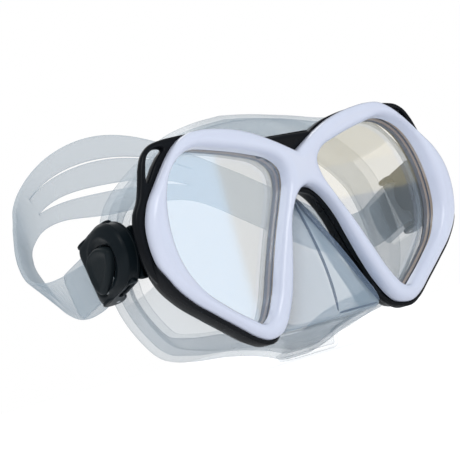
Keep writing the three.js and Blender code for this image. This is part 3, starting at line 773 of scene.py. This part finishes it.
def build_frame_rims():
    """The frame's lip that wraps the outside of the trim under each lens."""
    sections = []
    top_z, inner_x = -8, 26
    rear, inner_rear = 9.4, 6.9
    for p, n in zip(trim_loop, normals(trim_loop)):
        if p[0] < inner_x or p[1] > top_z:
            continue
        rise = ease(-p[1], -top_z, 20) * ease(p[0], inner_x, 38)
        front, wide = FRAME_FRONT + 0.1 - 3.9 * rise, 0.7 + 1.1 * rise
        profile = [(-0.4, rear), (wide, rear), (wide, front + 0.8), (wide - 0.4, front + 0.15),
                   (0.5, front), (0.22, front + 0.25), (0.22, inner_rear), (-0.4, inner_rear)]
        sections.append(section(p, n, profile))
    right = tube(np.array(sections))
    for side, part in zip(SIDES, (right, flipped(*right))):
        piece(f"frame_rim_{side}", part, "frame", "mask", (), 50)


def build_lens_edges():
    """The amber edge of each lens's coating, seen through the glass in its seat."""
    width, seat = LENS_OVERLAP + 0.22, FACE_BACK + 0.02
    path = [(width, FRAME_FRONT + 0.1), (width, seat), (0.3, seat), (0.3, seat - 0.08),
            (width - 0.14, seat - 0.08), (width - 0.14, FRAME_FRONT + 0.1)]
    right = hoop(np.array([section(p, n, path) for p, n in zip(opening, normals(opening))]))
    for side, part in zip(SIDES, (right, flipped(*right))):
        piece(f"lens_edge_{side}", part, "amber", "mask", (), 30)


def rounded_box(a0, a1, b0, b1, radius, steps=6):
    """A rectangle with round corners as a loop."""
    points = []
    corners = [(a1 - radius, b1 - radius, 0), (a0 + radius, b1 - radius, 90),
               (a0 + radius, b0 + radius, 180), (a1 - radius, b0 + radius, 270)]
    for a, b, start in corners:
        for k in range(steps + 1):
            angle = math.radians(start + 90 * k / steps)
            points.append((a + radius * math.cos(angle), b + radius * math.sin(angle)))
    loop = np.array(points)
    return resample(loop, 1.0)


def resample(loop, step):
    """A closed loop with straight stretches cut into steps."""
    points = []
    for a, b in zip(loop, np.roll(loop, -1, 0)):
        count = max(1, int(np.linalg.norm(b - a) / step))
        points += [a + (b - a) * k / count for k in range(count)]
    return np.array(points)


# ---- skirt

SKIRT_FRONT_LOOP = [(0, 25), (16, 27.5), (30, 31), (44, 33), (55, 29.5), (64, 21.5), (70.5, 12),
                    (73, 2), (72.5, -9), (68.5, -20), (60, -30), (49, -40), (40, -45.5),
                    (32, -48), (24, -49), (13, -50), (0, -50)]
SKIRT_REAR_LOOP = [(0, 46.6), (15, 45.3), (29.5, 42), (40, 36.4), (53, 28.4), (63.5, 19.6),
                   (69.8, 10), (72.5, 0), (73.4, -11), (73.4, -22), (69, -35), (61, -46),
                   (48, -50), (34, -51.6), (24, -53.6), (15, -56.2), (8, -59), (0, -59.4)]
SEALING_Y = [45, 45.5, 48, 51, 51, 49, 43, 39.5, 38]   # at equal steps from brow to lip
# outer side of the wall: share of the way from the front loop to the rear loop, and of the depth
WALL = [(0, 0), (0.12, 0.03), (0.42, 0.2), (0.68, 0.42), (0.86, 0.66), (0.97, 0.88)]
# the in-turned lip: distance inwards from the rear loop, and Y behind the sealing edge
LIP = [(0, -1.2), (0.5, 0), (2.4, 0.5), (5.5, 0), (9, -1.5), (9.6, -2.1), (9, -2.4), (5.5, -1.4),
       (3.2, -1.5), (2.2, -3.2)]
WALL_THICKNESS = 1.9
POCKET_THICKNESS = 1.7
# the thin clear panel at each temple: beyond this X, between these heights, and between these
# stations of the wall's section, outside and inside
PANEL_X, PANEL_LOW, PANEL_HIGH = 64, -24, 18
PANEL_STATIONS = (range(2, 18), range(38, 54))
NOSE_GAP = [(0, -3), (5.5, -8), (9, -14), (12.6, -24), (17, -34), (20.4, -43), (16, -46.4),
            (0, -47)]


def skirt_loops(count):
    """The wall's front and rear loops in (x, z), and the sealing edge's Y at each point."""
    front = symmetric(SKIRT_FRONT_LOOP, count)
    rear = symmetric(SKIRT_REAR_LOOP, count)
    half = spline([(i, y) for i, y in enumerate(SEALING_Y)], count // 2 + 1)[:, 1]
    depth = np.concatenate((half, half[1:-1][::-1]))
    return front, rear, depth


def build_skirt():
    """The outer wall with its in-turned sealing lip, a second lip inside it, and the flange
    behind the frame that holds the two lens windows."""
    front, rear, depth = skirt_loops(220)
    inner_front = grow(front, -WALL_THICKNESS)
    inward = -normals(rear)
    sections = []
    for p, q, r, n, y in zip(front, inner_front, rear, inward, depth):
        span = y - SKIRT_FRONT
        path = [(*(p + (r - p) * a), SKIRT_FRONT + span * b) for a, b in WALL]
        path += [(*(r + n * a), y + b) for a, b in LIP]
        inner = r + n * WALL_THICKNESS
        path += [(*(q + (inner - q) * a), SKIRT_FRONT + span * b * 0.96) for a, b in WALL[::-1]]
        sections.append(spline(path, 56, fine=6))
    points, faces = hoop(np.array(sections)[:, :, [0, 2, 1]])
    points[:, 2] = np.maximum(points[:, 2], FOOT_Z)
    wall = piece("skirt_wall", (points, faces), "silicone", "mask", ["skirt"])
    wall.data.materials.append(MATERIALS["thin"])
    size = len(sections[0])
    for face in wall.data.polygons:
        (x, z), across = rear[face.index // size], face.index % size
        on_wall = any(across in stations for stations in PANEL_STATIONS)
        in_panel = abs(x) > PANEL_X and PANEL_LOW < z < PANEL_HIGH
        face.material_index = int(in_panel and on_wall)
    build_second_lip(front, rear, inward, depth)
    build_flange(front)


def build_second_lip(front, rear, inward, depth):
    """A thinner lip inside the wall, in front of the sealing lip."""
    root, tip, thin = 0.62, 10.5, 0.8
    sections = []
    for p, r, n, y in zip(front, rear, inward, depth):
        span = y - SKIRT_FRONT
        start = p + (r - p) * 0.8 + n * 1.2
        first = np.array((*start, SKIRT_FRONT + span * root))
        last = np.array((*(r + n * tip), y - 5.6))
        bend = np.array((*(r + n * 4.4), y - 7.2))
        outer = spline([first, bend, last], 12, fine=8)
        inner = outer[::-1] + np.array((0, 0, -thin))
        sections.append(np.concatenate((outer, inner)))
    points, faces = hoop(np.array(sections)[:, :, [0, 2, 1]])
    points[:, 2] = np.maximum(points[:, 2], FOOT_Z + 0.6)
    piece("skirt_second_lip", (points, faces), "thin", "mask", ["skirt"])


def build_flange(front):
    """The flat flange behind the frame, with both windows and the gap for the nose."""
    window = grow(opening, 0.8)
    nose_gap = NOSE_GAP + [(-x, z) for x, z in NOSE_GAP[-2:0:-1]]
    holes = [window, mirror(window), spline(nose_gap, 120, True)]
    points, faces = relief(grow(front, -0.4), holes, level(SKIRT_FRONT), level(SKIRT_FRONT + 1.6),
                           2.4, rings=(0.8,))
    piece("skirt_flange", (in_face(points), faces), "silicone", "mask",
          ["skirt"])


# The nose pocket from its apex to the lip pad under it. Each row gives its height, the half
# width and Y of its front, the half width and Y of its shoulder, its rear Y, and how far its
# rear edge rises above the row.
NOSE_ROWS = [
    (2.6, 0.6, 12.6, 1.6, 14.6, 18.0, 0), (-4, 1.6, 9.4, 7.6, 12.5, 18.0, 0),
    (-12, 3.0, 5.2, 12.0, 12.5, 18.0, 0), (-20, 4.6, 1.2, 14.6, 12.5, 18.0, 0),
    (-28, 6.2, -2.2, 17.6, 12.5, 18.0, 0), (-36, 8.0, -5.0, 20.8, 12.5, 18.0, 0),
    (-42, 9.8, -7.0, 22.8, 12.5, 18.0, 0), (-46.2, 11.0, -7.9, 24.6, 12.5, 18.0, 0),
    (-47.6, 11.2, -7.2, 24.6, 12.6, 18.0, 0), (-49.4, 11.4, -2.0, 23.4, 13.4, 18.6, 0.4),
    (-51.4, 11.6, 7.0, 20.4, 15.6, 20.0, 1.0), (-53.2, 11.8, 15.0, 16.4, 18.4, 22.0, 1.6),
    (-54.4, 12.0, 21.6, 13.6, 23.0, 25.0, 2.0), (-55.4, 12.2, 23.6, 13.4, 24.6, 27.0, 2.4),
    (-58.2, 12.4, 24.2, 13.4, 25.2, 28.0, 3.0), (-59.7, 12.2, 25.2, 13.0, 26.2, 29.0, 3.4),
    (-60, 11.6, 28.0, 12.4, 28.8, 31.0, 3.6), (-60, 8.6, 38.4, 9.4, 38.8, 39.6, 3.0),
]
# the pocket's two front corners carry strands of painted shade
RIDGE_ROWS = 8                   # the rows that the two ridges run along
UNDER_NOSE_Z = -48.5


def build_nose_pocket():
    """The pocket with the lip pad under it, and dark strands of painted shade along its front
    corners and base.
    """
    grid = []
    for z, front, y, back, shoulder, rear, lift in spline(NOSE_ROWS, 110, fine=12):
        z = max(z, FOOT_Z)
        half = [(front, y, z), (back, shoulder, z + lift * 0.3), (back, rear, z + lift)]
        whole = [(-a, b, c) for a, b, c in half[::-1]] + half
        grid.append(soft_path(whole, 1.6, straight=7, round_steps=6))
    points, faces = shell(np.array(grid), POCKET_THICKNESS)
    points[:, 2] = np.maximum(points[:, 2], FOOT_Z)
    pocket = piece("nose_pocket", (points, faces), "nose", "mask", ["skirt"],
                   60)
    # under the nose the pocket is as clear as the wall's temple panels: a clearer silicone there
    # lifts the shade that falls under the nose, painted light
    pocket.data.materials.append(MATERIALS["thin"])
    under = place((0, 0, UNDER_NOSE_Z))[2]
    for face in pocket.data.polygons:
        face.material_index = int(face.center.z < under)
    ridge = np.array(NOSE_ROWS[:RIDGE_ROWS])[:, [1, 2, 0]]
    base = np.array([(a * 10.6, -7.4, -46.9) for a in np.linspace(-1, 1, 9)])
    # dark strands of painted shade on the pocket's front corners, thicker on the right than the
    # left, and along its base
    for name, path, radius in (("nose_ridge_painted_shade_right", ridge, 1.2),
                               ("nose_ridge_painted_shade_left", ridge * (-1, 1, 1), 0.5),
                               ("nose_base_painted_shade", base, 0.45)):
        piece(name, painted_shade_strand(spline(path, 60), radius), "painted_shade_strand", "mask")


# ---- strap

# where the strap passes between its buckle and the pad behind the head
SIDE_RUN = [(79, 64, -13), (78.6, 76, -12), (77.2, 88, -8), (74.2, 99, -0.6), (69.8, 109.6, 8.4),
            (64, 119.6, 17.8), (56.4, 127.8, 27), (44.6, 134, 35.8), (26.4, 137.8, 42.8)]
PAD_HEIGHT = 45.6
# the tail outside the roller and the strap's start inside it, as (u, w, x) in the buckle
TAIL, FOLD = [(35, 0, 84), (26, 0, 83.2), (19, 0, 82.6)], [(18, 0, 76.4), (27, 0, 77.4)]
STRAP_WIDTH, PAD_WIDTH, PAD_HALF_LENGTH = 20, 38, 62
FOLDED = 34                      # how much of each end lies in its buckle's own direction
RIB_PITCH, RIBBED = 2.6, 96      # the ribs and how far they run from each end
SLIT_REACH = 0.76                # half a slit's length as a share of the pad's half length
STEPS_PER_MM = 2
ROLLER_RADIUS, ROLLER_CLEARANCE = 1.9, 0.5
# between its folded end and the pad the strap turns with its upper edge outwards
TWIST, TWIST_MIDDLE, TWIST_END = math.radians(42), 86, 142


def strap_route():
    """The strap's middle line, from tail to tail round both rollers."""
    wrap = ROLLER_RADIUS + ROLLER_CLEARANCE + STRAP_THICKNESS / 2
    turn = [(ROLLER_U + wrap * math.cos(a), 0, ROLLER[0] + wrap * math.sin(a))
            for a in (math.radians(degrees) for degrees in range(90, 271, 30))]
    held = to_side(np.array(TAIL + turn + FOLD), "right")
    right = np.concatenate((held, SIDE_RUN, [(0, STRAP_BACK - STRAP_THICKNESS / 2, PAD_HEIGHT)]))
    return np.concatenate((right, right[-2::-1] * (-1, 1, 1)))


def strap_frame(route):
    """Points, directions across and outwards at even steps along the strap, and its length."""
    rough = spline(route, 2000)
    length = float(np.sum(np.linalg.norm(np.diff(rough, axis=0), axis=1)))
    centre = spline(route, int(length * STEPS_PER_MM) + 1)
    along = np.gradient(centre, axis=0)
    along /= np.linalg.norm(along, axis=1)[:, None]
    across = []
    droop = np.array((0, math.sin(TILT), math.cos(TILT)))
    for i, t in enumerate(along):
        place_on = min(i, len(along) - 1 - i) / STEPS_PER_MM
        flat = np.array((t[1], -t[0], 0))
        free = np.cross(flat / (np.linalg.norm(flat) + 1e-9), t)
        free *= np.sign(free[2]) if free[2] else 1
        share = ease(place_on, FOLDED + 8, FOLDED + 26)
        mixed = droop * (1 - share) + free * share
        mixed -= t * np.dot(mixed, t)
        mixed /= np.linalg.norm(mixed)
        side = np.cross(t, mixed)
        outside = 1 if side[0] * centre[i][0] > 0 else -1
        turn = TWIST * outside * ease(place_on, FOLDED, TWIST_MIDDLE)
        turn *= 1 - ease(place_on, TWIST_MIDDLE, TWIST_END)
        across.append(mixed * math.cos(turn) + side * math.sin(turn))
    across = np.array(across)
    return centre, across, np.cross(along, across), length


def half_width(distance):
    """Half the strap's width at a distance from the middle of the pad."""
    share = np.clip(distance / PAD_HALF_LENGTH, 0, 1)
    swell = 0.5 + 0.5 * np.cos(np.pi * share)
    return (STRAP_WIDTH + (PAD_WIDTH - STRAP_WIDTH) * swell) / 2


def strap_slit(middle, place_across, opening_half, count=60):
    """A pointed slit along the pad: its place across as a share of the half width."""
    end = SLIT_REACH * PAD_HALF_LENGTH
    s = np.concatenate((np.linspace(-end, end, count), np.linspace(end, -end, count)[1:-1]))
    side = np.concatenate((np.full(count, -1.0), np.full(count - 2, 1.0)))
    open_by = opening_half * (1 - (s / end) ** 2) * (1 + 0.25 * s / end * np.sign(s))
    w = half_width(np.abs(s)) * place_across + side * np.maximum(open_by, 0.0)
    return np.stack((s + middle, w), 1)


def build_strap():
    """One band cut with two slits at the pad and ribbed at both tails, bent along its route."""
    centre, across, outward, length = strap_frame(strap_route())
    middle = length / 2
    s = np.arange(0, length, 1.6)
    h = half_width(np.abs(s - middle))
    from_end = np.minimum(s, length - s)
    h = h * np.sqrt(np.clip(1 - (1 - np.clip(from_end / 5, 0, 1)) ** 4, 0.02, 1))
    outline = np.concatenate((np.stack((s, -h), 1), np.stack((s, h), 1)[::-1]))
    outline = resample(outline, 1.6)
    holes = [strap_slit(middle, -0.33, 1.7), strap_slit(middle, 0.4, 0.4)]
    # four rows of points to a rib, and every third of those rows on the smooth pad
    row = RIB_PITCH / 4
    fine = []
    for a in np.arange(0.6, length, row):
        on_pad = min(a, length - a) > RIBBED
        if on_pad and int(a / row) % 3:
            continue
        b = np.arange(-PAD_WIDTH / 2, PAD_WIDTH / 2, 1.7)
        fine.append(np.stack((np.full(len(b), a), b), 1))

    def face(side):
        def height(p, out, near):
            place_on = np.minimum(p[:, 0], length - p[:, 0])
            rib = 0.5 + 0.5 * np.cos(2 * np.pi * p[:, 0] / RIB_PITCH)
            zone = (1 - ease(place_on, RIBBED - 8, RIBBED)) * ease(out, 1.5, 2.4)
            half = STRAP_THICKNESS / 2 - np.maximum(fillet(out, 0.8, 0.7), fillet(near, 0.6, 0.5))
            return side * (half - 0.42 * zone * (1 - rib) * (side > 0))
        return height

    flat, faces = relief(outline, holes, face(1), face(-1), 1.6, rings=(0.3, 0.9),
                         grid=np.concatenate(fine))
    spot = np.clip(flat[:, 0] * STEPS_PER_MM, 0, len(centre) - 1.001)
    i = spot.astype(int)
    t = (spot - i)[:, None]

    def between(values):
        return values[i] * (1 - t) + values[i + 1] * t

    points = between(centre) + between(across) * flat[:, 1:2] + between(outward) * flat[:, 2:3]
    piece("strap_band", (points, faces), "strap", "left_buckle", ["strap"])


# ---- side buckles

BODY = {"half": 13.4, "back": 17.0, "corner": 5.0, "wall": 1.6, "deck": 7.4,
        "inner": 79.0, "floor": 80.6, "under": 84.6}
PAD = [(-6.6, 0.6), (-2, 4.4), (4, 5.8), (10, 4.6), (12.6, -0.6), (12.2, -7), (9.6, -10.4),
       (4.4, -9.6), (-1, -7), (-5.2, -3.2)]
EAR = [(15.2, 84.8), (8.4, 84.8), (7.2, 83.6), (-1, 83.6), (-4.6, 83), (-5.6, 81.2), (-4.6, 79.2),
       (1, 79.1), (7.6, 79.1), (9.4, 77), (14, 76.8), (15.8, 80)]
RIVET_HOLE = 3.2
EAR_WINDOW = [(-3.2, 82.4), (-3.9, 81.2), (-3, 80.2), (2, 80), (7, 80.1), (7.6, 81.4),
              (6.6, 82.5), (2, 82.7)]


def to_side(points, side):
    """Points as (u, w, x) in the right-hand buckle, moved to the mask's frame on one side."""
    u, w, x = points.T
    y = HUB[1] + u * math.cos(TILT) + w * math.sin(TILT)
    z = HUB[2] - u * math.sin(TILT) + w * math.cos(TILT)
    return np.stack((x if side == "right" else -x, y, z), 1)


def body_loop():
    """Half a circle about the swivel at the front and two round corners at the back."""
    radius, corner = BODY["half"], BODY["corner"]
    u = BODY["back"] - corner
    points = []
    for w, start in ((corner - radius, -90), (radius - corner, 0)):
        points += [(u + corner * math.cos(math.radians(start + 9 * k)),
                    w + corner * math.sin(math.radians(start + 9 * k))) for k in range(11)]
    points += [(radius * math.cos(math.radians(90 + 4 * k)),
                radius * math.sin(math.radians(90 + 4 * k))) for k in range(46)]
    return resample(np.array(points), 0.9)


def buckle_cover(pad_loop):
    """The crowned cover, with a round ridge about the hole for the release pad."""
    ridge_radius, ridge_width, ridge_height = 10.2, 0.9, 0.55

    def top(p, out, near):
        radius = np.linalg.norm(p - np.array((1.5, -1.0)), axis=1)
        ridge = ridge_height * np.exp(-((radius - ridge_radius) / ridge_width) ** 2)
        ridge -= 0.4 * ease(-radius, -9.4, -8.2)
        rim = fillet(near, 1.0, 0.5)
        return COVER_TOP - 0.5 + ridge - rim - fillet(out, 3.4, 2.6) - 0.03 * p[:, 0]

    return relief(body_loop(), [grow(pad_loop, 0.35)], top, level(BODY["under"] - 0.4), 1.0)


def buckle_floor():
    """The floor under the front of the cover, with a round hole for the rivet."""
    outer = body_loop()
    loop = outer[outer[:, 0] <= BODY["deck"]]
    start = int(np.argmax(np.linalg.norm(loop - np.roll(loop, 1, 0), axis=1)))
    loop = resample(np.roll(loop, -start, 0), 0.9)
    turn = np.linspace(0, 2 * math.pi, 12, endpoint=False)
    hole = spline([(RIVET_HOLE * math.cos(a), RIVET_HOLE * math.sin(a)) for a in turn], 40, True)
    return relief(loop, [hole], rounded(BODY["floor"], 0.5, 0.4),
                  rounded(BODY["inner"], 0.6, -0.5), 1.8, rings=(0.4,))


def buckle_wall():
    """The side wall from the floor to the cover, round the front."""
    outer, inner, end_u = BODY["half"] - 0.2, BODY["half"] - BODY["wall"], 6.6
    arc = np.radians(np.linspace(90, 262, 60))
    strip = [(r * math.cos(a), r * math.sin(a))
             for r, angles in ((outer, arc), (inner, arc[::-1])) for a in angles]
    strip = np.array([(end_u, outer)] + strip + [(end_u, inner)])
    return relief(resample(strip, 0.8), [], level(BODY["under"]), level(BODY["floor"] - 0.5), 0.9,
                  rings=())


def buckle_ear(w, holes):
    """One of the two ears that carry the roller, whose near face is at w across the strap."""
    points, faces = relief(spline(EAR, 90, True), holes, rounded(w, 0.6, -0.4),
                           rounded(w + BODY["wall"], 0.6, 0.4), 1.1, rings=(0.3,))
    return points[:, [0, 2, 1]], faces


def build_buckle(side):
    """One buckle: its shell, release pad, arm and roller."""
    pad_loop = spline(PAD, 110, True)
    lower_w, upper_w = -BODY["half"] + 0.1, BODY["half"] - BODY["wall"] - 0.1
    parts = [buckle_cover(pad_loop), buckle_floor(), buckle_wall(),
             buckle_ear(lower_w, [spline(EAR_WINDOW, 50, True)]), buckle_ear(upper_w, [])]
    shell_parts = merged([(to_side(p, side), f) for p, f in parts])
    piece(f"buckle_shell_{side}", shell_parts, "buckle", f"{side}_buckle",
          [f"buckle_body_{side}"], 40)
    build_pad(side, pad_loop)
    build_arm(side)
    build_roller(side)


def build_pad(side, pad_loop):
    """The shield-shaped release pad: a dished face inside a raised rim."""

    def top(p, out, near):
        dish = 0.7 * ease(out, 1.2, 4.0)
        return PAD_TOP - 0.8 - fillet(out, 1.5, 1.7) - dish - 0.05 * p[:, 0]

    points, faces = relief(pad_loop, [], top, level(BODY["under"] + 1.0), 0.9)
    piece(f"release_pad_{side}", (to_side(points, side), faces), "button", f"{side}_button",
          [f"release_button_{side}"], 50)


def build_arm(side):
    """The fixed arm from behind the frame's lug to the swivel."""
    low, high = node_mm("buckle_arm_right")
    front = low[1] - HUB[1]
    inner_x, clip_depth = 76, 2.3
    sign = 1 if side == "right" else -1
    blade = spline([(front, 9.2), (-5, 8.9), (0, 8.5), (6, 6), (8.5, 0), (6, -6), (0, -8.5),
                    (-5, -10.2), (front, -10.8), (front, -4), (front, 3)], 90, True)
    blade[:, 0] = np.maximum(blade[:, 0], front)
    p, faces = relief(blade, [], rounded(high[0], 0.9, 0.8), level(inner_x), 1.4,
                      rings=(0.3, 0.8))
    points = np.stack((sign * p[:, 2], HUB[1] + p[:, 0], HUB[2] + p[:, 1]), 1)
    clip_loop = rounded_box(low[0], high[0] - 0.1, HUB[2] - 10.6, HUB[2] + 9, 1.0)
    clip, clip_faces = relief(clip_loop, [], level(low[1]), rounded(low[1] + clip_depth, 1, 0.8),
                              1.4, rings=(0.4,))
    solid = merged([(points, faces), (in_face(clip) * np.array((sign, 1, 1)), clip_faces)])
    piece(f"swivel_arm_{side}", solid, "buckle", "mask",
          [f"buckle_arm_{side}"], 45)


def build_roller(side):
    """The grooved roller that the strap turns round."""
    half, bore, chamfer, steps = 11.2, 0.9, 0.4, 64
    flutes, flute_depth = 16, 0.12
    radius = ROLLER_RADIUS
    profile = [(-half, bore), (-half, radius - chamfer), (-half + chamfer, radius),
               (half - chamfer, radius), (half, radius - chamfer), (half, bore)]
    sections = []
    for k in range(steps):
        angle = 2 * math.pi * k / steps
        flute = flute_depth * (1 + math.cos(angle * flutes))
        sections.append([(ROLLER_U + (r - flute * (r > 1)) * math.cos(angle), w,
                          ROLLER[0] + (r - flute * (r > 1)) * math.sin(angle))
                         for w, r in profile])
    points, faces = hoop(np.array(sections))
    piece(f"fluted_roller_{side}", (to_side(points, side), faces), "roller", f"{side}_roller",
          [f"strap_roller_{side}"], 50)


build_trim()
build_frame()
build_frame_rims()
build_lens_edges()
build_skirt()
build_nose_pocket()
build_strap()
for side in SIDES:
    build_buckle(side)

CAD_FINISH = {"lens": "lens", "lens_gasket": "rubber", "pivot_rivet": "dark_steel",
              "roller_axle": "steel", "button_spring": "steel"}
for node_name, finish in CAD_FINISH.items():
    for side in SIDES:
        slots = frame["nodes"][f"{node_name}_{side}"].data.materials
        slots.clear()
        slots.append(MATERIALS["lens_" + side if finish == "lens" else finish])
